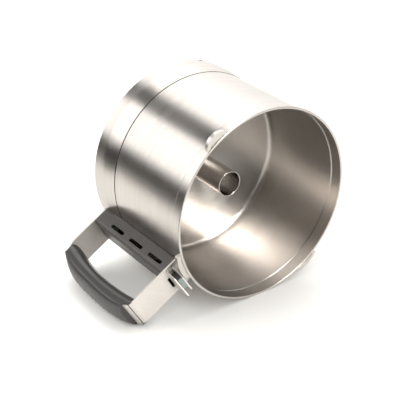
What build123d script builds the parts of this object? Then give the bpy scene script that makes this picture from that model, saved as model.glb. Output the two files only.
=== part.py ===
import os
from math import asin, cos, degrees, hypot, radians, sin, sqrt, tan, tau

from build123d import *

os.makedirs("parts", exist_ok=True)

# Bowl wall, floor and rim, in millimetres
mouth_inner_radius = 105.0
bowl_height = 160.0
bowl_depth = 118.5
wall_sheet = 0.8
band_depth = 13.8
joggle_step = 0.8
joggle_length = 0.9
joggle_rounding = 0.8
rim_overhang = 1.7
rim_roll_depth = 2.6
rim_rounding = 0.4
floor_corner_radius = 6.0
seam_overlap = 3.2
seam_groove = 1.0
seam_rounding = 0.5
weld_gap = 0.1

# Skirt under the bowl
skirt_flare = 2.5
skirt_sheet = 1.6
skirt_band_height = 17.0
skirt_bend_radius = 40.0
skirt_foot_rounding = 1.0
catch_hole_length = 6.5
catch_hole_width = 4.0
catch_hole_rise = 3.6
catch_hole_angles = (-138.2, 41.8)

# Tube through the middle of the floor
tube_outer_radius = 14.6
tube_sheet = 1.5
tube_rise = 59.3
tube_drop = 8.8
tube_edge_rounding = 0.5

# Lugs that the lid turns onto
lug_height = 4.4
lug_drop = 0.5
lug_rounding = 1.2
lug_lip = 3.6
lug_recess_depth = 0.8
side_lug_reach = 7.6
handle_lug_end_reach = 5.8
lower_lug_end_reach = 5.4
upper_lug_reach = 10.2
upper_lug_end_reach = 3.5

# Angle of a lug's middle from the handle, its span, and how far its middle and its
# ends stand out from the band
lug_places = {
    "lid_lug_handle": (-10.2, 15.6, side_lug_reach, handle_lug_end_reach),
    "lid_lug_upper": (-86.6, 14.2, upper_lug_reach, upper_lug_end_reach),
    "lid_lug_lower": (93.7, 16.0, side_lug_reach, lower_lug_end_reach),
}

# Flat steel strap that carries the grip
strap_width = 33.6
strap_thickness = 2.0
handle_reach = 70.6
mouth_arm_drop = 18.8
base_arm_rise = 6.2
mouth_bend_radius = 11.0
base_bend_radius = 24.0
drain_slot_length = 15.0
drain_slot_width = 3.4
drain_slot_shift = 2.2
drain_slot_inset = 2.35

# Moulded channel between the strap's arms
channel_reach = 20.0
channel_sheet = 1.5
channel_corner_radius = 4.0
channel_edge_rounding = 0.6
vent_length = 24.0
vent_width = 4.2
vent_pitch = 36.0
vent_count = 3
vent_shift = 8.3
vent_reach = 11.6

# Soft moulding round the strap
grip_side_cover = 1.5
grip_step = 0.5
grip_squareness = 2.7
grip_outline_points = 9
grip_end_setback = 8.7
grip_end_step = 3.8
grip_end_slope = 4.0

# Share of the bar's length, and the distances outwards from the bar's outer face
# of the inner face, the side ridge and the outer face
grip_sections = (
    (0.00, -20.0, -6.5, -4.0),
    (0.13, -17.0, -3.0, 6.5),
    (0.32, -13.0, -0.5, 11.5),
    (0.56, -11.5, 1.5, 12.5),
    (0.80, -13.0, 1.5, 11.5),
    (1.00, -17.0, -0.5, 1.5),
)
grip_nose_radius = 7.0
grip_nose_rounding = 1.5

# Spring-loaded rod that the lid pushes
rod_reach = 11.3
rod_radius = 2.5
running_clearance = 0.05
head_width = 13.0
head_thickness = 5.0
head_rise = 15.8
head_rounding = 0.9
head_edge_rounding = 0.45
head_pad_thickness = 2.6
window_clearance = 0.25
shoulder_width = 17.0
shoulder_thickness = 8.8
shoulder_height = 5.2
socket_depth = 7.0
spring_seat_height = 102.0
spring_seat_sheet = 2.0
spring_radius = 4.0
spring_wire_radius = 0.45
spring_turns = 7
foot_radius = 4.5
foot_length = 18.0
foot_chamfer = 0.45
bush_wall = 1.05
bush_flange = 1.2
bush_flange_thickness = 2.0

# Folded brackets on each side of the rod's head
bracket_sheet = 1.4
bracket_bend_radius = 3.0
bracket_gap = 0.5
guide_foot_reach = 3.0
guard_outline = ((-14.5, 2.3), (-9.5, 12.3), (16.9, 18.0))
guide_outline = ((-14.5, 2.3), (-12.5, 7.3), (-2.0, 11.6), (16.2, 14.8))
bracket_corner_rounding = 1.5

# Sizes that follow from the ones above
wall_inner_radius = mouth_inner_radius - joggle_step
wall_outer_radius = wall_inner_radius + wall_sheet
band_outer_radius = mouth_inner_radius + wall_sheet
rim_outer_radius = band_outer_radius + rim_overhang
floor_top = bowl_height - bowl_depth
floor_under = floor_top - wall_sheet
seam_height = floor_under - seam_overlap
band_foot = bowl_height - band_depth
neck_radius = wall_inner_radius - weld_gap
skirt_outer_radius = wall_outer_radius + skirt_flare
tube_inner_radius = tube_outer_radius - tube_sheet
bar_radius = wall_outer_radius + handle_reach
mouth_arm_face = bowl_height - mouth_arm_drop
mouth_arm_back = mouth_arm_face - strap_thickness
base_arm_back = base_arm_rise + strap_thickness
bar_length = mouth_arm_back - base_arm_back
channel_radius = wall_outer_radius + channel_reach
rod_place = wall_outer_radius + rod_reach
grip_half_width = strap_width / 2 + grip_side_cover
deep_inside = wall_outer_radius / 2
past_everything = 4 * bar_radius
half_turn = 180.0


def resting_angle() -> float:
    """Angle in degrees by which the handle hangs below level when the grip meets the floor."""
    fullest_ridge = max(ridge for share, inner, ridge, outer in grip_sections)
    fullest_outer = max(outer for share, inner, ridge, outer in grip_sections)
    ridge = bar_radius + fullest_ridge
    rise = fullest_outer - fullest_ridge
    half_width = grip_half_width - grip_step
    square = ridge**2 - rise**2 + half_width**2
    linear = skirt_outer_radius * ridge
    constant = skirt_outer_radius**2 - half_width**2
    return degrees(asin((linear - sqrt(linear**2 - square * constant)) / square))


# The bowl lies on its side: its axis runs along Y and its mouth faces -Y. On the
# bowl plane X points to the handle and Z to the mouth
handle_angle = radians(resting_angle())
handle_way = Vector(-cos(handle_angle), 0, -sin(handle_angle))
mouth_way = Vector(0, -1, 0)
bowl = Plane(origin=(0, 0, 0), x_dir=handle_way, z_dir=mouth_way)
profile = Plane(origin=(0, 0, 0), x_dir=handle_way, z_dir=-bowl.y_dir)
facing = Plane(origin=(0, 0, 0), x_dir=bowl.y_dir, z_dir=handle_way)
bowl_axis = Axis((0, 0, 0), mouth_way)


def nearest(shapes: ShapeList, *points: tuple) -> list:
    """The corners or edges that lie nearest to the given points, one for each."""
    return [shapes.sort_by_distance(point)[0] for point in points]


# Bowl shell: wall, stepped-out band, rolled rim and floor in one turned section
tube_hole_radius = tube_outer_radius + weld_gap
with BuildPart() as bowl_shell:
    with BuildSketch(profile) as shell_section:
        with BuildLine():
            Polyline(
                (tube_hole_radius, floor_under),
                (wall_inner_radius, floor_under),
                (wall_inner_radius, seam_height),
                (wall_outer_radius, seam_height),
                (wall_outer_radius, band_foot - joggle_length),
                (band_outer_radius, band_foot),
                (band_outer_radius, bowl_height - rim_roll_depth),
                (rim_outer_radius, bowl_height - rim_roll_depth + rim_overhang),
                (rim_outer_radius, bowl_height),
                (mouth_inner_radius, bowl_height),
                (mouth_inner_radius, band_foot),
                (wall_inner_radius, band_foot - joggle_length),
                (wall_inner_radius, floor_top),
                (tube_hole_radius, floor_top),
                close=True,
            )
        make_face()
        fillet(
            nearest(vertices(), (wall_inner_radius, floor_top)),
            floor_corner_radius,
        )
        fillet(
            nearest(
                vertices(),
                (rim_outer_radius, bowl_height),
                (mouth_inner_radius, bowl_height),
            ),
            rim_rounding,
        )
        fillet(
            nearest(vertices(), (wall_outer_radius, seam_height)),
            seam_rounding,
        )
        fillet(
            nearest(
                vertices(),
                (band_outer_radius, band_foot),
                (mouth_inner_radius, band_foot),
                (wall_outer_radius, band_foot - joggle_length),
                (wall_inner_radius, band_foot - joggle_length),
            ),
            joggle_rounding,
        )
    revolve(axis=bowl_axis)

# Base skirt: a neck inside the wall's end, a shoulder below the seam, a flare and a
# straight band, with a bend that the flare is always long enough for
skirt_inner_radius = skirt_outer_radius - skirt_sheet
neck_inner_radius = neck_radius - skirt_sheet
shoulder_rise = seam_height - seam_groove
flare_length = hypot(skirt_flare, shoulder_rise - skirt_sheet - skirt_band_height)
flare_turn = asin(skirt_flare / flare_length)
skirt_bend = min(skirt_bend_radius, flare_length / 2 / tan(flare_turn / 2))
with BuildPart() as base_skirt:
    with BuildSketch(profile):
        with BuildLine():
            Polyline(
                (neck_radius, floor_under),
                (neck_radius, shoulder_rise),
                (wall_outer_radius, shoulder_rise),
                (skirt_outer_radius, skirt_band_height),
                (skirt_outer_radius, 0),
                (skirt_inner_radius, 0),
                (skirt_inner_radius, skirt_band_height),
                (wall_outer_radius - skirt_sheet, shoulder_rise - skirt_sheet),
                (neck_inner_radius, shoulder_rise - skirt_sheet),
                (neck_inner_radius, floor_under),
                close=True,
            )
        make_face()
        fillet(
            nearest(
                vertices(),
                (skirt_outer_radius, skirt_band_height),
                (skirt_inner_radius, skirt_band_height),
            ),
            skirt_bend,
        )
        fillet(nearest(vertices(), (wall_outer_radius, shoulder_rise)), seam_rounding)
        fillet(nearest(vertices(), (skirt_outer_radius, 0)), skirt_foot_rounding)
    revolve(axis=bowl_axis)
    for angle in catch_hole_angles:
        hole_way = handle_way.rotate(bowl_axis, angle)
        with BuildSketch(Plane(origin=(0, 0, 0), x_dir=mouth_way.cross(hole_way), z_dir=hole_way)):
            with Locations((0, catch_hole_rise)):
                SlotOverall(catch_hole_length, catch_hole_width)
        extrude(amount=past_everything, mode=Mode.SUBTRACT)

# Centre tube: open at both ends, standing through the floor
with BuildPart() as centre_tube:
    with BuildSketch(bowl.offset(floor_under - tube_drop)):
        Circle(tube_outer_radius)
        Circle(tube_inner_radius, mode=Mode.SUBTRACT)
    extrude(amount=wall_sheet + tube_drop + tube_rise)
    tube_mouth = faces().sort_by(Axis((0, 0, 0), mouth_way))[-1]
    fillet(tube_mouth.edges(), tube_edge_rounding)

# Everything inside the outer surface of the bowl and skirt, with the weld gap added
with BuildPart() as bowl_envelope:
    with BuildSketch(profile):
        with BuildLine():
            Polyline(
                (0, -bowl_height),
                (skirt_outer_radius + weld_gap, -bowl_height),
                (skirt_outer_radius + weld_gap, skirt_band_height),
                (wall_outer_radius + weld_gap, shoulder_rise),
                (wall_outer_radius + weld_gap, band_foot - joggle_length - weld_gap),
                (band_outer_radius + weld_gap, band_foot - weld_gap),
                (band_outer_radius + weld_gap, bowl_height - rim_roll_depth - weld_gap),
                (rim_outer_radius + weld_gap, bowl_height - rim_roll_depth + rim_overhang - weld_gap),
                (rim_outer_radius + weld_gap, bowl_height),
                (0, bowl_height),
                close=True,
            )
        make_face()
    revolve(axis=bowl_axis)

# Lid lugs: bowed plates on the band, each with a shallow recess behind its outer lip
lug_solids = {}
for name, (middle, span, reach, end_reach) in lug_places.items():
    first = middle - span / 2
    with BuildPart() as lug:
        with BuildSketch(bowl.offset(bowl_height - lug_drop - lug_height)) as lug_section:
            with BuildLine():
                inside = CenterArc((0, 0), deep_inside, first, span)
                outside = ThreePointArc(
                    (band_outer_radius + end_reach) * Vector(1, 0).rotate(Axis.Z, first),
                    (band_outer_radius + reach) * Vector(1, 0).rotate(Axis.Z, middle),
                    (band_outer_radius + end_reach) * Vector(1, 0).rotate(Axis.Z, first + span),
                )
                Line(inside @ 0, outside @ 0)
                Line(inside @ 1, outside @ 1)
            make_face()
            fillet(nearest(vertices(), outside @ 0, outside @ 1), lug_rounding)
        extrude(amount=lug_height)
        with BuildSketch(bowl.offset(bowl_height - lug_drop)):
            add(lug_section.sketch_local)
            offset(amount=-lug_lip, mode=Mode.REPLACE)
        extrude(amount=-lug_recess_depth, mode=Mode.SUBTRACT)
        add(bowl_envelope.part, mode=Mode.SUBTRACT)
    lug.part.label = name
    lug_solids[name] = lug.part

# Head of the rod: block between the brackets, shoulder and socket below the arm
window_width = head_width + 2 * window_clearance
window_thickness = head_thickness + 2 * window_clearance
with BuildPart() as plunger_head:
    with BuildSketch(bowl.offset(mouth_arm_back)):
        with Locations((rod_place, 0)):
            RectangleRounded(head_thickness, head_width, head_rounding)
    extrude(amount=strap_thickness + head_rise - head_pad_thickness)
    with BuildSketch(bowl.offset(mouth_arm_back)):
        with Locations((rod_place, 0)):
            RectangleRounded(shoulder_thickness, shoulder_width, head_rounding)
    extrude(amount=-shoulder_height)
    with BuildSketch(bowl.offset(mouth_arm_back - shoulder_height)):
        with Locations((rod_place, 0)):
            Circle(rod_radius + running_clearance)
    extrude(amount=socket_depth, mode=Mode.SUBTRACT)

# Pale pad on the head's end, which the lid's tab slides onto
with BuildPart() as head_pad:
    with BuildSketch(bowl.offset(mouth_arm_face + head_rise - head_pad_thickness)):
        with Locations((rod_place, 0)):
            RectangleRounded(head_thickness, head_width, head_rounding)
    extrude(amount=head_pad_thickness)
    pad_face = faces().sort_by(Axis((0, 0, 0), mouth_way))[-1]
    fillet(pad_face.edges(), head_edge_rounding)

# Round rod from the head's socket to the foot's socket
shoulder_under = mouth_arm_back - shoulder_height
rod_top = shoulder_under + socket_depth
rod_foot_top = base_arm_rise + foot_length
rod_end = rod_foot_top - socket_depth
with BuildPart() as push_rod:
    with BuildSketch(bowl.offset(rod_end)):
        with Locations((rod_place, 0)):
            Circle(rod_radius)
    extrude(amount=rod_top - rod_end)

# Foot on the rod's lower end, level with the base arm at rest
with BuildPart() as rod_foot:
    with BuildSketch(bowl.offset(base_arm_rise)):
        with Locations((rod_place, 0)):
            Circle(foot_radius)
    extrude(amount=foot_length)
    foot_face = faces().sort_by(Axis((0, 0, 0), mouth_way))[0]
    chamfer(foot_face.edges(), foot_chamfer)
    with BuildSketch(bowl.offset(rod_end)):
        with Locations((rod_place, 0)):
            Circle(rod_radius + running_clearance)
    extrude(amount=socket_depth, mode=Mode.SUBTRACT)

# Flanged bush that guides the foot through the base arm
bush_bore = foot_radius + running_clearance
bush_radius = bush_bore + bush_wall
with BuildPart() as foot_bush:
    with BuildSketch(bowl.offset(base_arm_rise)):
        with Locations((rod_place, 0)):
            Circle(bush_radius)
    extrude(amount=strap_thickness)
    with BuildSketch(bowl.offset(base_arm_back)):
        with Locations((rod_place, 0)):
            Circle(bush_radius + bush_flange)
    extrude(amount=bush_flange_thickness)
    with BuildSketch(bowl.offset(base_arm_rise)):
        with Locations((rod_place, 0)):
            Circle(bush_bore)
    extrude(amount=strap_thickness + bush_flange_thickness, mode=Mode.SUBTRACT)

# Handle strap: two arms and a bar with unequal bends, cut back to the bowl
with BuildPart() as handle_strap:
    with BuildSketch(profile):
        with Locations((deep_inside, base_arm_rise)):
            Rectangle(bar_radius - deep_inside, mouth_arm_face - base_arm_rise, align=(Align.MIN, Align.MIN))
        fillet(nearest(vertices(), (bar_radius, mouth_arm_face)), mouth_bend_radius)
        fillet(nearest(vertices(), (bar_radius, base_arm_rise)), base_bend_radius)
        with BuildSketch(profile, mode=Mode.PRIVATE) as strap_inside:
            with Locations((0, base_arm_back)):
                Rectangle(bar_radius - strap_thickness, bar_length, align=(Align.MIN, Align.MIN))
            fillet(
                nearest(vertices(), (bar_radius - strap_thickness, mouth_arm_back)),
                mouth_bend_radius - strap_thickness,
            )
            fillet(
                nearest(vertices(), (bar_radius - strap_thickness, base_arm_back)),
                base_bend_radius - strap_thickness,
            )
        add(strap_inside.sketch_local, mode=Mode.SUBTRACT)
    extrude(amount=strap_width / 2, both=True)
    add(bowl_envelope.part, mode=Mode.SUBTRACT)
    strap_outside = handle_strap.part
    with BuildSketch(bowl.offset(mouth_arm_back)):
        with Locations((rod_place, 0)):
            Rectangle(window_thickness, window_width)
        with Locations((channel_radius - drain_slot_inset, drain_slot_shift)):
            SlotOverall(drain_slot_length, drain_slot_width, rotation=90)
    extrude(amount=strap_thickness, mode=Mode.SUBTRACT)
    with BuildSketch(bowl.offset(base_arm_rise)):
        with Locations((rod_place, 0)):
            Circle(bush_radius + running_clearance)
    extrude(amount=strap_thickness, mode=Mode.SUBTRACT)

# Moulded channel: open to the bowl, rounded outer corners, vents in both sides
vent_middle_height = (base_arm_back + mouth_arm_back) / 2 + vent_shift
with BuildPart() as handle_channel:
    with BuildSketch(bowl.offset(base_arm_back)):
        with Locations((deep_inside, 0)):
            Rectangle(channel_radius - deep_inside, strap_width, align=(Align.MIN, Align.CENTER))
        fillet(vertices().group_by(Axis.X)[-1], channel_corner_radius)
        with BuildSketch(mode=Mode.PRIVATE) as channel_inside:
            Rectangle(
                channel_radius - channel_sheet,
                strap_width - 2 * channel_sheet,
                align=(Align.MIN, Align.CENTER),
            )
            fillet(vertices().group_by(Axis.X)[-1], channel_corner_radius - channel_sheet)
        add(channel_inside.sketch_local, mode=Mode.SUBTRACT)
    extrude(amount=bar_length)
    add(bowl_envelope.part, mode=Mode.SUBTRACT)
    wall_way = sqrt(wall_outer_radius**2 - strap_width**2 / 4)
    wall_corners = [
        bowl.from_local_coords((wall_way, side * strap_width / 2, vent_middle_height)) for side in (-1, 1)
    ]
    fillet(nearest(edges().filter_by(Axis.Y), *wall_corners), channel_edge_rounding)
    with BuildSketch(profile):
        with Locations((wall_outer_radius + vent_reach, vent_middle_height)):
            with GridLocations(0, vent_pitch, 1, vent_count):
                SlotOverall(vent_length, vent_width, rotation=90)
    extrude(amount=strap_width, both=True, mode=Mode.SUBTRACT)

# Spring seat: a plate across the channel that also guides the rod
with BuildPart() as spring_seat:
    with BuildSketch(bowl.offset(spring_seat_height)):
        with Locations((deep_inside, 0)):
            Rectangle(
                channel_radius - channel_sheet - weld_gap - deep_inside,
                strap_width - 2 * (channel_sheet + weld_gap),
                align=(Align.MIN, Align.CENTER),
            )
        fillet(vertices().group_by(Axis.X)[-1], channel_corner_radius - channel_sheet)
        with Locations((rod_place, 0)):
            Circle(rod_radius + running_clearance, mode=Mode.SUBTRACT)
    extrude(amount=spring_seat_sheet)
    add(bowl_envelope.part, mode=Mode.SUBTRACT)

# Return spring between its seat and the head's shoulder
spring_foot = spring_seat_height + spring_seat_sheet
spring_length = shoulder_under - spring_foot
coil_length = spring_length - 2 * spring_wire_radius
coil_start = handle_way * rod_place + mouth_way * (spring_foot + spring_wire_radius)
with BuildPart() as rod_spring:
    with BuildLine() as coil:
        turns = Helix(coil_length / spring_turns, coil_length, spring_radius, coil_start, mouth_way)
    with BuildSketch(Plane(origin=turns @ 0, z_dir=turns % 0)):
        Circle(spring_wire_radius)
    sweep(path=turns, is_frenet=True)


def superellipse(centre: float, depth: float, half_width: float) -> list:
    """Points of the grip's inner half, from one side ridge round to the other."""
    points = []
    for step in range(grip_outline_points):
        turn = tau / 4 - tau / 2 * step / (grip_outline_points - 1)
        across = abs(sin(turn)) ** (2 / grip_squareness) * half_width
        inwards = abs(cos(turn)) ** (2 / grip_squareness) * depth
        points.append((centre - inwards, -across if turn > 0 else across))
    return points


# Grip: lofted through six sections, square towards the bowl and round outside,
# with a small step at each side ridge, moulded over the strap
with BuildPart() as grip:
    for share, inner, ridge, outer in grip_sections:
        with BuildSketch(bowl.offset(base_arm_back + share * bar_length)):
            with BuildLine():
                ridge_radius = bar_radius + ridge
                inner_half = superellipse(ridge_radius, ridge - inner, grip_half_width)
                Spline(*inner_half, tangents=[(-1, 0), (1, 0)])
                outer_half = EllipticalCenterArc(
                    (ridge_radius, 0),
                    outer - ridge,
                    grip_half_width - grip_step,
                    start_angle=-half_turn / 2,
                    arc_size=half_turn,
                )
                Line(inner_half[0], outer_half @ 0)
                Line(inner_half[-1], outer_half @ 1)
            make_face()
    loft()
    with BuildSketch(facing.offset(deep_inside)):
        with Locations((0, base_arm_back)):
            Rectangle(2 * grip_half_width, bowl_height, align=(Align.CENTER, Align.MIN))
        fillet(vertices().group_by(Axis.Y)[0], grip_nose_radius)
    extrude(amount=past_everything, mode=Mode.INTERSECT)
    nose_face = faces().sort_by(Axis((0, 0, 0), mouth_way))[0]
    fillet(nose_face.edges().sort_by(Axis((0, 0, 0), handle_way))[-1], grip_nose_rounding)
    add(strap_outside, mode=Mode.SUBTRACT)
    grip_end = mouth_arm_face - grip_end_setback
    with BuildSketch(profile):
        with BuildLine():
            Polyline(
                (bar_radius - grip_end_step, bowl_height),
                (bar_radius - grip_end_step, grip_end + grip_end_slope),
                (bar_radius - strap_thickness / 2, grip_end),
                (past_everything, grip_end),
                (past_everything, bowl_height),
                close=True,
            )
        make_face()
    extrude(amount=strap_width, both=True, mode=Mode.SUBTRACT)


def bracket_corners(outline: tuple) -> list:
    """Corners of a bracket's free edge, seen from the handle and on from its foot."""
    return [(side, mouth_arm_face + height) for side, height in outline]


def bracket_face(outline: tuple, end: float) -> list:
    """Outline of a bracket seen from the handle: a straight foot and a sloping top edge."""
    return [(outline[0][0], mouth_arm_face), *bracket_corners(outline), (end, mouth_arm_face)]


# Rod guard: outer bracket, folded, with a notch round the head
head_inner_side = rod_place - head_thickness / 2
head_outer_side = rod_place + head_thickness / 2
guard_outer_side = head_outer_side + bracket_gap + bracket_sheet
guide_outer_side = head_inner_side - bracket_gap
bracket_top = bowl_height
with BuildPart() as rod_guard:
    with BuildSketch(profile):
        with BuildLine():
            Polyline(
                (guide_outer_side + weld_gap, mouth_arm_face),
                (guard_outer_side, mouth_arm_face),
                (guard_outer_side, bracket_top),
                (guard_outer_side - bracket_sheet, bracket_top),
                (guard_outer_side - bracket_sheet, mouth_arm_face + bracket_sheet),
                (guide_outer_side + weld_gap, mouth_arm_face + bracket_sheet),
                close=True,
            )
        make_face()
        fillet(nearest(vertices(), (guard_outer_side, mouth_arm_face)), bracket_bend_radius)
        fillet(
            nearest(vertices(), (guard_outer_side - bracket_sheet, mouth_arm_face + bracket_sheet)),
            bracket_bend_radius - bracket_sheet,
        )
    extrude(amount=strap_width, both=True)
    with BuildSketch(facing.offset(deep_inside)):
        with BuildLine():
            Polyline(*bracket_face(guard_outline, strap_width / 2), close=True)
        make_face()
        fillet(nearest(vertices(), *bracket_corners(guard_outline)[1:]), bracket_corner_rounding)
    extrude(amount=past_everything, mode=Mode.INTERSECT)
    with BuildSketch(bowl.offset(mouth_arm_face)):
        with Locations((head_outer_side + window_clearance, 0)):
            Rectangle(channel_reach, window_width, align=(Align.MAX, Align.CENTER))
    extrude(amount=bracket_bend_radius, mode=Mode.SUBTRACT)

# Guide plate: inner bracket, folded, with its foot towards the bowl
guide_inner_side = guide_outer_side - bracket_sheet
guide_bend_radius = bracket_bend_radius - bracket_gap
with BuildPart() as guide_plate:
    with BuildSketch(profile):
        with BuildLine():
            Polyline(
                (wall_outer_radius + guide_foot_reach, mouth_arm_face),
                (guide_outer_side, mouth_arm_face),
                (guide_outer_side, bracket_top),
                (guide_inner_side, bracket_top),
                (guide_inner_side, mouth_arm_face + bracket_sheet),
                (wall_outer_radius + guide_foot_reach, mouth_arm_face + bracket_sheet),
                close=True,
            )
        make_face()
        fillet(nearest(vertices(), (guide_outer_side, mouth_arm_face)), guide_bend_radius)
        fillet(
            nearest(vertices(), (guide_inner_side, mouth_arm_face + bracket_sheet)),
            guide_bend_radius - bracket_sheet,
        )
    extrude(amount=strap_width, both=True)
    with BuildSketch(facing.offset(deep_inside)):
        with BuildLine():
            Polyline(*bracket_face(guide_outline, guide_outline[-1][0]), close=True)
        make_face()
        fillet(nearest(vertices(), *bracket_corners(guide_outline)[1:]), bracket_corner_rounding)
    extrude(amount=past_everything, mode=Mode.INTERSECT)

finished = {
    "bowl_shell": bowl_shell.part,
    "base_skirt": base_skirt.part,
    "centre_tube": centre_tube.part,
    "handle_channel": handle_channel.part,
    "handle_strap": handle_strap.part,
    "grip": grip.part,
    "rod_guard": rod_guard.part,
    "guide_plate": guide_plate.part,
    "plunger_head": plunger_head.part,
    "head_pad": head_pad.part,
    "push_rod": push_rod.part,
    "rod_spring": rod_spring.part,
    "spring_seat": spring_seat.part,
    "rod_foot": rod_foot.part,
    "foot_bush": foot_bush.part,
    **lug_solids,
}
for name, solid in finished.items():
    solid.label = name
    export_step(solid, f"parts/{name}.step")
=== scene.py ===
"""Looks of the food processor bowl: steel finishes, soft grip, spring, table, lamps and camera."""

import logging
import math
from abc import ABC, abstractmethod
from dataclasses import dataclass, replace
from enum import Enum

import bmesh
import bpy
from mathutils import Matrix, Vector

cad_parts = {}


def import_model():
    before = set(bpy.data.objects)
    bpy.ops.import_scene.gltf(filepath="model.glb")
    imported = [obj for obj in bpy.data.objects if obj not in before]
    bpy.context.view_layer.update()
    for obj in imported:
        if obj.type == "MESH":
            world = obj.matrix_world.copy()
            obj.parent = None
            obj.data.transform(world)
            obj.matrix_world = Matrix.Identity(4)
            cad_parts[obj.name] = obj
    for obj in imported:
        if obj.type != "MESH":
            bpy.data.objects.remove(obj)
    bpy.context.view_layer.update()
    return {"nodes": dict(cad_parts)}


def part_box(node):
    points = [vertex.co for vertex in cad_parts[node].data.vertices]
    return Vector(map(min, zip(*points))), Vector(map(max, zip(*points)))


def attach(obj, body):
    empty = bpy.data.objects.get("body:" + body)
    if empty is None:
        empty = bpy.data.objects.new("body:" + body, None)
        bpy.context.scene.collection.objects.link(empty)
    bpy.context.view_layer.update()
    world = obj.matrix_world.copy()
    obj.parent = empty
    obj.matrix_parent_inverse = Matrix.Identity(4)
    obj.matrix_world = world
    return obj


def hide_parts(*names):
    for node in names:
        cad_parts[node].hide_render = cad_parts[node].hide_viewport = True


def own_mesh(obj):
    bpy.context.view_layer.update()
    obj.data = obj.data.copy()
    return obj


MM = 0.001
BOWL = "bowl"
MERGE_DISTANCE = 0.01 * MM
# Nearly all values of a noise lie between these two
NOISE_LOW = 0.3
NOISE_HIGH = 0.7
QUARTER_TURN = 0.25
log = logging.getLogger("bowl_looks")


def linear(hex_colour: str) -> tuple[float, float, float, float]:
    """Turns an sRGB colour to linear light, by the standard's curve.

    Args:
        hex_colour: The colour as #rrggbb.

    Returns:
        Red, green, blue and an alpha of 1.
    """
    channels = [int(hex_colour[place : place + 2], 16) / 255 for place in (1, 3, 5)]
    light = [
        value / 12.92 if value <= 0.04045 else ((value + 0.055) / 1.055) ** 2.4 for value in channels
    ]
    return (*light, 1.0)


def add_node(
    tree: bpy.types.NodeTree,
    kind: str,
    settings: dict | None = None,
    inputs: dict | None = None,
) -> bpy.types.Node:
    """Adds one node to a tree.

    Args:
        tree: The tree that gets the node.
        kind: The node's type name.
        settings: Values of the node's own properties, by name.
        inputs: For each input, by name or number, its value or the output that feeds it.

    Returns:
        The new node.
    """
    node = tree.nodes.new(kind)
    for name, value in (settings or {}).items():
        setattr(node, name, value)
    for name, value in (inputs or {}).items():
        if isinstance(value, bpy.types.NodeSocket):
            tree.links.new(value, node.inputs[name])
        else:
            node.inputs[name].default_value = value
    return node


def new_material(name: str) -> bpy.types.Material:
    """An empty node material of that name."""
    material = bpy.data.materials.new(name)
    material.use_nodes = True
    material.node_tree.nodes.clear()
    return material


def plain_material(name: str, kind: str, inputs: dict) -> bpy.types.Material:
    """Makes a material of one shader.

    Args:
        name: The material's name.
        kind: The shader node's type name.
        inputs: The constant value of each input that isn't left at its default.

    Returns:
        The new material.
    """
    material = new_material(name)
    shader = add_node(material.node_tree, kind, inputs=inputs)
    add_node(material.node_tree, "ShaderNodeOutputMaterial", inputs={"Surface": shader.outputs[0]})
    return material


def dress(node: bpy.types.Object, material: bpy.types.Material) -> None:
    """Gives every slot of a piece that material."""
    node.data.materials.clear()
    node.data.materials.append(material)
    log.info("%s wears %s", node.name, material.name)


def mesh_object(name: str, mesh: bmesh.types.BMesh) -> bpy.types.Object:
    """Turns a bmesh into an object of the scene.

    Args:
        name: The object's name.
        mesh: Its shape at its place, in metres. It is freed here.

    Returns:
        The new object.
    """
    data = bpy.data.meshes.new(name)
    mesh.to_mesh(data)
    mesh.free()
    item = bpy.data.objects.new(name, data)
    bpy.context.scene.collection.objects.link(item)
    return item


def finished_piece(
    name: str, mesh: bmesh.types.BMesh, body: str, material: bpy.types.Material
) -> bpy.types.Object:
    """Turns a bmesh into a smooth piece of the object that rides on a body.

    Args:
        name: The piece's name.
        mesh: Its shape at its place, in metres. It is freed here.
        body: The CAD body that the piece moves with.
        material: Its finish.

    Returns:
        The new object.
    """
    bmesh.ops.remove_doubles(mesh, verts=mesh.verts, dist=MERGE_DISTANCE)
    bmesh.ops.recalc_face_normals(mesh, faces=mesh.faces)
    for face in mesh.faces:
        face.smooth = True
    piece = mesh_object(name, mesh)
    dress(piece, material)
    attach(piece, body)
    return piece


@dataclass(frozen=True, kw_only=True)
class Finish(ABC):
    """A surface whose tone and gloss follow one pattern, and whose relief follows a finer one.

    Widths, lengths and depths are in millimetres.
    """

    name: str
    colour: str
    shade: str
    roughness: float
    roughness_spread: float
    relief_depth: float

    @abstractmethod
    def patterns(self, tree: bpy.types.NodeTree) -> tuple[bpy.types.Node, bpy.types.Node]:
        """Adds the two patterns.

        Args:
            tree: The material's tree.

        Returns:
            The noise of the tone and gloss, and the finer noise of the relief.
        """

    def shader_inputs(self, tree: bpy.types.NodeTree) -> dict:
        """Inputs of the shader that only this kind of finish has.

        Args:
            tree: The material's tree.

        Returns:
            For each input its value or the output that feeds it, and none here.
        """
        return {}

    def material(self) -> bpy.types.Material:
        """The node material of this finish."""
        material = new_material(self.name)
        tree = material.node_tree
        drift, relief = (pattern.outputs["Fac"] for pattern in self.patterns(tree))
        tone = add_node(
            tree,
            "ShaderNodeMix",
            {"data_type": "RGBA"},
            {"Factor": drift, "A": linear(self.colour), "B": linear(self.shade)},
        )
        gloss = add_node(
            tree,
            "ShaderNodeMapRange",
            inputs={
                "Value": drift,
                "From Min": NOISE_LOW,
                "From Max": NOISE_HIGH,
                "To Min": self.roughness - self.roughness_spread,
                "To Max": self.roughness + self.roughness_spread,
            },
        )
        bump = add_node(
            tree,
            "ShaderNodeBump",
            inputs={"Height": relief, "Strength": 1.0, "Distance": self.relief_depth * MM},
        )
        shader = add_node(
            tree,
            "ShaderNodeBsdfPrincipled",
            inputs={
                "Base Color": tone.outputs["Result"],
                "Roughness": gloss.outputs["Result"],
                "Normal": bump.outputs["Normal"],
                **self.shader_inputs(tree),
            },
        )
        add_node(tree, "ShaderNodeOutputMaterial", inputs={"Surface": shader.outputs["BSDF"]})
        return material


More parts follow.
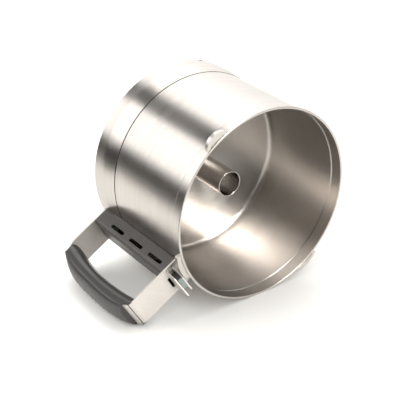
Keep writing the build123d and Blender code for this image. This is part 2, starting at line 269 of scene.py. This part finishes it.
class GrainLay(Enum):
    """How the brushing runs over a steel piece."""

    TURNED = "rings round the bowl's axis"
    AXIAL = "lines along the bowl's axis"
    STRAP = "lines along the strap, arms and bar alike"


@dataclass(frozen=True, kw_only=True)
class BrushedSteel(Finish):
    """Stainless steel that was brushed, turned or drawn, with lines along its grain.

    Real lines of this kind are far finer than a millimetre, which is about one pixel at
    the photograph's distance. So they are drawn coarser here: scratches of about a pixel
    in the relief, and streaks of a few pixels in the tone and gloss.
    """

    lay: GrainLay
    colour: str = "#cbc6c1"
    shade: str = "#c2bdb7"
    roughness: float = 0.24
    roughness_spread: float = 0.035
    relief_depth: float = 0.002
    anisotropy: float = 0.0
    streak_width: float = 3.0
    streak_length: float = 160.0
    scratch_width: float = 1.4
    scratch_length: float = 90.0
    grain_detail: float = 2.0
    grain_roughness: float = 0.6
    handle_turn: float = 0.0

    def turned_place(self, tree: bpy.types.NodeTree, place: bpy.types.NodeSocket) -> bpy.types.NodeSocket:
        """Adds the radius to Y, so that rings part on the flat floor as they do along the wall.

        Args:
            tree: The material's tree.
            place: The output with the place in the object.

        Returns:
            The output with the changed place.
        """
        parts = add_node(tree, "ShaderNodeSeparateXYZ", inputs={"Vector": place}).outputs
        flat = add_node(tree, "ShaderNodeCombineXYZ", inputs={"X": parts["X"], "Z": parts["Z"]})
        radius = add_node(
            tree, "ShaderNodeVectorMath", {"operation": "LENGTH"}, {0: flat.outputs["Vector"]}
        )
        unrolled = add_node(
            tree, "ShaderNodeMath", {"operation": "ADD"}, {0: parts["Y"], 1: radius.outputs["Value"]}
        )
        return add_node(
            tree,
            "ShaderNodeCombineXYZ",
            inputs={"X": parts["X"], "Y": unrolled.outputs["Value"], "Z": parts["Z"]},
        ).outputs["Vector"]

    def grain(self, tree: bpy.types.NodeTree, width: float, length: float) -> bpy.types.Node:
        """Adds one noise that is stretched along the brushing.

        Args:
            tree: The material's tree.
            width: Width of a line across the grain, in millimetres.
            length: Length of a line along the grain, in millimetres.

        Returns:
            The noise node.
        """
        place = add_node(tree, "ShaderNodeTexCoord").outputs["Object"]
        if self.lay is GrainLay.TURNED:
            place = self.turned_place(tree, place)
        wide = width * MM
        long = length * MM
        sizes = {
            GrainLay.TURNED: (long, wide, long),
            GrainLay.AXIAL: (wide, long, wide),
            GrainLay.STRAP: (long, long, wide),
        }[self.lay]
        stretched = add_node(
            tree,
            "ShaderNodeMapping",
            {"vector_type": "TEXTURE"},
            {"Vector": place, "Rotation": (0.0, self.handle_turn, 0.0), "Scale": sizes},
        )
        return add_node(
            tree,
            "ShaderNodeTexNoise",
            inputs={
                "Vector": stretched.outputs["Vector"],
                "Scale": 1.0,
                "Detail": self.grain_detail,
                "Roughness": self.grain_roughness,
            },
        )

    def patterns(self, tree: bpy.types.NodeTree) -> tuple[bpy.types.Node, bpy.types.Node]:
        """Adds the streaks and the scratches, as the base class says."""
        streaks = self.grain(tree, self.streak_width, self.streak_length)
        scratches = self.grain(tree, self.scratch_width, self.scratch_length)
        return streaks, scratches

    def shader_inputs(self, tree: bpy.types.NodeTree) -> dict:
        """Bare metal, and where it was turned a gloss that is drawn out across the rings."""
        inputs = {"Metallic": 1.0}
        if self.anisotropy:
            # Rings round the axis spread the light along the axis, a quarter turn from the tangent
            tangent = add_node(tree, "ShaderNodeTangent", {"direction_type": "RADIAL", "axis": "Y"})
            inputs["Tangent"] = tangent.outputs["Tangent"]
            inputs["Anisotropic"] = self.anisotropy
            inputs["Anisotropic Rotation"] = QUARTER_TURN
        return inputs


@dataclass(frozen=True, kw_only=True)
class MouldedPlastic(Finish):
    """Moulded plastic with the fine spark-eroded texture of its tool.

    The real texture is finer than a pixel at the photograph's distance, so it is drawn
    coarser here, as grit of about two pixels.
    """

    roughness_spread: float = 0.05
    relief_depth: float = 0.03
    patch: float = 22.0
    patch_detail: float = 2.0
    grit: float = 1.8
    grit_detail: float = 1.0

    def patterns(self, tree: bpy.types.NodeTree) -> tuple[bpy.types.Node, bpy.types.Node]:
        """Adds the patches and the grit, as the base class says."""
        place = add_node(tree, "ShaderNodeTexCoord").outputs["Object"]
        patches, grit = (
            add_node(
                tree,
                "ShaderNodeTexNoise",
                inputs={"Vector": place, "Scale": 1 / (size * MM), "Detail": detail},
            )
            for size, detail in ((self.patch, self.patch_detail), (self.grit, self.grit_detail))
        )
        return patches, grit


@dataclass
class SubAssembly(ABC):
    """Pieces that are dressed together, with what the scene adds to them.

    The handle's turn is its direction about the bowl's axis, in radians.
    """

    nodes: dict[str, bpy.types.Object]
    handle_turn: float

    def build(self) -> None:
        """Adds the pieces that the CAD doesn't have. Most sub-assemblies need none."""

    @abstractmethod
    def dress(self) -> None:
        """Gives the CAD's pieces their finishes."""

    def wear(self, finish: Finish, *names: str) -> None:
        """Makes one material of a finish and gives it to CAD pieces.

        Args:
            finish: The finish.
            names: The names of the pieces' nodes.
        """
        material = finish.material()
        for name in names:
            dress(self.nodes[name], material)

    def along_handle(self, steel: BrushedSteel) -> BrushedSteel:
        """The same steel with its grain turned to the handle's direction."""
        return replace(steel, handle_turn=self.handle_turn)


@dataclass
class Bowl(SubAssembly):
    """The steel vessel: shell, skirt, centre tube and lid lugs."""

    # Rings from the lathe draw each lamp out to a soft-edged stripe along the wall
    turned: BrushedSteel = BrushedSteel(
        name="turned_stainless_steel", lay=GrainLay.TURNED, roughness=0.316, anisotropy=0.83
    )
    # Drawn tube is smoother, and its darker tone is painted shade that darkens its reflections deep in
    # the bowl, so that it stands out before the bright floor
    tube: BrushedSteel = BrushedSteel(
        name="drawn_steel_tube_painted_shade",
        lay=GrainLay.AXIAL,
        colour="#aba6a2",
        shade="#a09b97",
        roughness=0.2,
        relief_depth=0.0005,
    )
    # Rolled sheet is duller than the wall, so that the lugs read as pieces welded on
    lug_sheet: BrushedSteel = BrushedSteel(name="satin_steel_sheet", lay=GrainLay.AXIAL, roughness=0.38)
    # Painted shade: a dark matt ring that draws the shaded crevice of the seam as a thin line
    seam_shade: MouldedPlastic = MouldedPlastic(
        name="dark_painted_seam_shade", colour="#2e2824", shade="#221e1b", roughness=0.7
    )
    seam_radius: float = 104.7
    seam_place: float = -37.0
    seam_shade_radius: float = 0.6
    ring_steps: int = 180
    section_sides: int = 8

    def build(self) -> None:
        """Runs a dark ring of painted shade round the seam between wall and skirt, where its crevice is
        shaded.
        """
        mesh = bmesh.new()
        middle = Vector((self.seam_radius, self.seam_place, 0)) * MM
        section = bmesh.ops.create_circle(
            mesh,
            segments=self.section_sides,
            radius=self.seam_shade_radius * MM,
            matrix=Matrix.Translation(middle),
        )["verts"]
        bmesh.ops.spin(
            mesh,
            geom=section + mesh.edges[:],
            cent=(0, 0, 0),
            axis=(0, 1, 0),
            angle=math.tau,
            steps=self.ring_steps,
            use_merge=True,
        )
        # The ring is painted shade of the seam's crevice
        finished_piece("painted_seam_shade_ring", mesh, BOWL, self.seam_shade.material())

    def dress(self) -> None:
        """Gives the turned pieces their rings and the tube and lugs their own steel."""
        self.wear(self.turned, "bowl_shell", "base_skirt")
        self.wear(self.tube, "centre_tube")
        self.wear(
            self.along_handle(self.lug_sheet), "lid_lug_handle", "lid_lug_upper", "lid_lug_lower"
        )


@dataclass
class Handle(SubAssembly):
    """Strap, channel, brackets and the soft grip."""

    # Satin sheet shows no lamp as a shape: the arms stay evenly pale beside the bright wall
    strap: BrushedSteel = BrushedSteel(
        name="satin_steel_strap", lay=GrainLay.STRAP, colour="#dcd8d3", shade="#d4cfca", roughness=0.5
    )
    # Textured nylon is a soft dark grey that keeps its rounded corner in view
    moulding: MouldedPlastic = MouldedPlastic(
        name="textured_nylon_channel", colour="#4a4643", shade="#413d3b", roughness=0.42
    )
    # Soft elastomer is darker than the channel, with a broad soft highlight along its ridges
    skin: MouldedPlastic = MouldedPlastic(
        name="soft_grip_elastomer", colour="#393635", shade="#312e2d", roughness=0.35
    )

    def dress(self) -> None:
        """Gives the strap and brackets their grain, and the channel and grip their plastic."""
        self.wear(
            self.along_handle(self.strap), "handle_strap", "rod_guard", "guide_plate", "spring_seat"
        )
        self.wear(self.moulding, "handle_channel")
        self.wear(self.skin, "grip")


@dataclass
class Plunger(SubAssembly):
    """The sprung rod that the lid presses: head, rod, foot, bush and return spring."""

    # Natural acetal is a green grey, which sets the pad off from the dark head under it
    acetal: MouldedPlastic = MouldedPlastic(
        name="natural_acetal_pad", colour="#8f9d98", shade="#85938e", roughness=0.35, relief_depth=0.01
    )
    # Dark nylon is painted shade: it makes the head one dark block, for its sides that lie shaded between
    # the pale steel brackets
    block: MouldedPlastic = MouldedPlastic(
        name="dark_head_painted_shade", colour="#3b3836", shade="#322f2e", roughness=0.4
    )
    # Drawn rod is smooth, with thin lines of light along it
    rod: BrushedSteel = BrushedSteel(name="drawn_steel_rod", lay=GrainLay.AXIAL, roughness=0.2)
    # Music wire is bright, so that each turn of the coil has a small glint of its own
    wire: BrushedSteel = BrushedSteel(name="music_wire_spring", lay=GrainLay.AXIAL, roughness=0.22)
    spring_radius: float = 4.0
    wire_radius: float = 0.45
    turns: int = 7
    steps_per_turn: int = 24
    wire_sides: int = 8

    def build(self) -> None:
        """Winds the return spring as one coil along the CAD's spring, and hides that one."""
        low, high = (Vector(corner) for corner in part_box("rod_spring"))
        middle = (low + high) / 2
        mesh = bmesh.new()
        seat = Vector((middle.x, high.y - self.wire_radius * MM, middle.z))
        first = seat + Vector((self.spring_radius * MM, 0, 0))
        ring = bmesh.ops.create_circle(
            mesh,
            cap_ends=True,
            segments=self.wire_sides,
            radius=self.wire_radius * MM,
            matrix=Matrix.Translation(first),
        )
        steps = self.turns * self.steps_per_turn
        rise = (high.y - low.y) - 2 * self.wire_radius * MM
        bmesh.ops.spin(
            mesh,
            geom=ring["verts"] + mesh.edges[:] + mesh.faces[:],
            cent=seat,
            axis=(0, 1, 0),
            dvec=(0, -rise / steps, 0),
            angle=self.turns * math.tau,
            steps=steps,
        )
        spring = finished_piece("return_spring", mesh, BOWL, self.wire.material())
        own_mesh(spring)
        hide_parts("rod_spring")

    def dress(self) -> None:
        """Gives the rod its drawn finish and the head, foot and bush their plastic."""
        self.wear(self.acetal, "head_pad", "rod_foot", "foot_bush")
        self.wear(self.block, "plunger_head")
        self.wear(self.rod, "push_rod", "rod_spring")


@dataclass(frozen=True)
class Panel:
    """A flat panel that faces the bowl, as a lamp or a card does.

    Its back is towards local +Z, its width along local X and its length along local Y.
    Psi is a direction from the bowl's axis, seen down the axis from the mouth: 0 to the
    right, 90 overhead, 180 to the left. Lengths and places along Y are in metres.
    """

    width: float
    length: float
    place: Matrix

    @classmethod
    def facing(cls, width: float, length: float, way: Vector, back: Vector, middle: Vector) -> "Panel":
        """A panel at a place.

        Args:
            width: Its width.
            length: Its length.
            way: The direction of its length.
            back: The direction that it has its back to.
            middle: Its middle.

        Returns:
            The panel.
        """
        turned = Matrix((way.cross(back), way, back)).transposed()
        return cls(width, length, Matrix.Translation(middle) @ turned.to_4x4())

    @classmethod
    def beside(
        cls, psi: tuple[float, float], distance: float, along: tuple[float, float]
    ) -> "Panel":
        """A panel beside the bowl's axis, facing it.

        Args:
            psi: The directions of its two long edges, in degrees.
            distance: Its distance from the axis.
            along: The places of its two ends along Y.

        Returns:
            The panel.
        """
        first, last = along
        turn = math.radians(sum(psi) / 2)
        width = 2 * distance * math.tan(math.radians(psi[1] - psi[0]) / 2)
        way = Vector((0, 1, 0))
        back = Vector((math.cos(turn), 0, math.sin(turn)))
        return cls.facing(width, last - first, way, back, back * distance + way * (first + last) / 2)

    @classmethod
    def in_front(
        cls, psi: float, distance: float, place: float, tall: float, broad: float
    ) -> "Panel":
        """A panel across the bowl's axis, in front of the mouth and facing it.

        Args:
            psi: The direction of its middle from the axis, in degrees.
            distance: The distance of its middle from the axis.
            place: Its place along Y.
            tall: Its size away from the axis.
            broad: Its size across that.

        Returns:
            The panel.
        """
        turn = math.radians(psi)
        way = Vector((math.cos(turn), 0, math.sin(turn)))
        back = Vector((0, -1, 0))
        return cls.facing(broad, tall, way, back, way * distance + Vector((0, place, 0)))


@dataclass(frozen=True)
class Softbox:
    """A diffused lamp, seen in the steel and lighting the table and plastics.

    A lamp that isn't mirrored is a fill that the steel doesn't show, and one that isn't
    scattered is only seen in reflections, so that it doesn't wash out matt surfaces.
    """

    name: str
    panel: Panel
    radiance: float
    colour: str = "#fffdfa"
    mirrored: bool = True
    scattered: bool = True

    def build(self) -> None:
        """Hangs the lamp at its place."""
        lamp = bpy.data.lights.new(self.name, "AREA")
        lamp.shape = "RECTANGLE"
        lamp.size = self.panel.width
        lamp.size_y = self.panel.length
        lamp.color = linear(self.colour)[:3]
        lamp.energy = self.radiance * math.pi * self.panel.width * self.panel.length
        holder = bpy.data.objects.new(self.name, lamp)
        holder.matrix_world = self.panel.place
        holder.visible_camera = False
        holder.visible_glossy = self.mirrored
        holder.visible_diffuse = self.scattered
        bpy.context.scene.collection.objects.link(holder)
        log.info("lamp %s is %.1f by %.1f m", self.name, self.panel.width, self.panel.length)


@dataclass(frozen=True)
class Card:
    """A dark card that only reflections show, as stands round a product on a table."""

    name: str
    panel: Panel
    colour: str = "#14110f"

    def build(self) -> None:
        """Stands the card at its place."""
        mesh = bmesh.new()
        shape = Matrix.Diagonal((self.panel.width / 2, self.panel.length / 2, 1, 1))
        bmesh.ops.create_grid(
            mesh, x_segments=1, y_segments=1, size=1, matrix=self.panel.place @ shape
        )
        card = mesh_object(self.name, mesh)
        # Felt in shadow: an even near-black, which gives the steel its dark stripes
        felt = plain_material(
            self.name + "_felt", "ShaderNodeEmission", {"Color": linear(self.colour), "Strength": 1.0}
        )
        dress(card, felt)
        card.visible_camera = False
        card.visible_diffuse = False
        card.visible_shadow = False
        log.info("card %s is %.1f by %.1f m", self.name, self.panel.width, self.panel.length)


@dataclass
class Studio:
    """White table, lamps, cards, world and camera."""

    floor_height: float = -107.5
    floor_size: float = 3.6
    floor_colour: str = "#f6f5f2"
    floor_roughness: float = 0.6
    floor_gloss: float = 0.2
    world_colour: str = "#ffffff"
    world_level: float = 1.0
    camera_place: tuple[float, float, float] = (-635.8, -931.6, 544.3)
    camera_way: tuple[float, float, float] = (0.5135, 0.7149, -0.4746)
    lens: float = 99.2
    sensor: float = 36.0
    nearest_seen: float = 0.05
    farthest_seen: float = 50.0
    # The softboxes are the bright stripes on the wall, the bounce and the fill lift the
    # shaded sides, and the window lights the inside
    lamps: tuple[Softbox, ...] = (
        Softbox("right_softbox", Panel.beside((42, 96), 3.0, (-0.6, 4.0)), 1.5),
        Softbox("left_softbox", Panel.beside((118, 163), 3.0, (-0.2, 4.0)), 1.7),
        Softbox("right_bounce", Panel.beside((2, 42), 3.0, (-0.2, 4.0)), 0.7),
        Softbox("left_fill", Panel.beside((125, 168), 2.0, (-3.0, -0.5)), 1.1, mirrored=False),
        Softbox("front_window", Panel.in_front(72, 1.7, -3.0, 1.6, 1.0), 33.0, scattered=False),
    )
    # The first two are the dark stripes on the wall, and the others darken the inside
    cards: tuple[Card, ...] = (
        Card("overhead_gap", Panel.beside((95, 119), 3.1, (-1.0, 5.0))),
        Card("left_table_end", Panel.beside((167, 193), 0.5, (-0.6, 2.0))),
        Card("front_left", Panel.beside((106, 182), 3.3, (-5.0, -0.25))),
        Card("front_right", Panel.beside((-35, 20), 3.3, (-5.0, -0.25))),
        Card("front_right_far", Panel.beside((20, 50), 3.3, (-5.0, -2.6))),
        Card("front_overhead", Panel.beside((50, 106), 3.2, (-5.0, -0.9))),
        Card("behind_camera", Panel.in_front(90, 1.6, -4.6, 3.4, 8.0)),
    )

    def build_floor(self) -> None:
        """Lays the white table top, which takes the shadows."""
        mesh = bmesh.new()
        bmesh.ops.create_grid(
            mesh,
            x_segments=1,
            y_segments=1,
            size=self.floor_size / 2,
            matrix=Matrix.Translation((0, 0, self.floor_height * MM)),
        )
        floor = mesh_object("table_top", mesh)
        # Matt white laminate: it merges with the white surround and shows only soft shadows
        laminate = plain_material(
            "white_laminate_table",
            "ShaderNodeBsdfPrincipled",
            {
                "Base Color": linear(self.floor_colour),
                "Roughness": self.floor_roughness,
                "Specular IOR Level": self.floor_gloss,
            },
        )
        dress(floor, laminate)

    def build_world(self) -> None:
        """Makes the world a plain white surround, to the camera and the reflections too."""
        world = bpy.data.worlds.new("white_surround")
        world.use_nodes = True
        tree = world.node_tree
        tree.nodes.clear()
        glow = add_node(
            tree,
            "ShaderNodeBackground",
            inputs={"Color": linear(self.world_colour), "Strength": self.world_level},
        )
        add_node(tree, "ShaderNodeOutputWorld", inputs={"Surface": glow.outputs["Background"]})
        bpy.context.scene.world = world

    def build_camera(self) -> None:
        """Sets the camera at the photograph's place and makes it the scene's own."""
        lens = bpy.data.cameras.new("photo_camera")
        lens.lens = self.lens
        lens.sensor_width = self.sensor
        lens.sensor_height = self.sensor
        lens.clip_start = self.nearest_seen
        lens.clip_end = self.farthest_seen
        camera = bpy.data.objects.new("photo_camera", lens)
        place = Vector(self.camera_place) * MM
        turn = Vector(self.camera_way).to_track_quat("-Z", "Y").to_matrix().to_4x4()
        camera.matrix_world = Matrix.Translation(place) @ turn
        bpy.context.scene.collection.objects.link(camera)
        bpy.context.scene.camera = camera

    def build(self) -> None:
        """Builds the table, lamps, cards, world and camera."""
        self.build_floor()
        for item in (*self.lamps, *self.cards):
            item.build()
        self.build_world()
        self.build_camera()
        bpy.context.scene.view_settings.view_transform = "Standard"
        log.info("studio is set with %d lamps and %d cards", len(self.lamps), len(self.cards))


def find_handle_turn() -> float:
    """The handle's direction about the bowl's axis, from where its push rod stands."""
    low, high = (Vector(corner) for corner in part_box("push_rod"))
    rod = (low + high) / 2
    return math.atan2(-rod.z, -rod.x)


def main() -> None:
    """Loads the frame, builds and dresses each sub-assembly and sets the studio."""
    logging.basicConfig(level=logging.INFO, format="%(message)s")
    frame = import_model()
    nodes = frame["nodes"]
    handle_turn = find_handle_turn()

    for kind in (Bowl, Handle, Plunger):
        assembly = kind(nodes, handle_turn)
        assembly.build()
        assembly.dress()
    Studio().build()


if __name__ == "__main__":
    main()
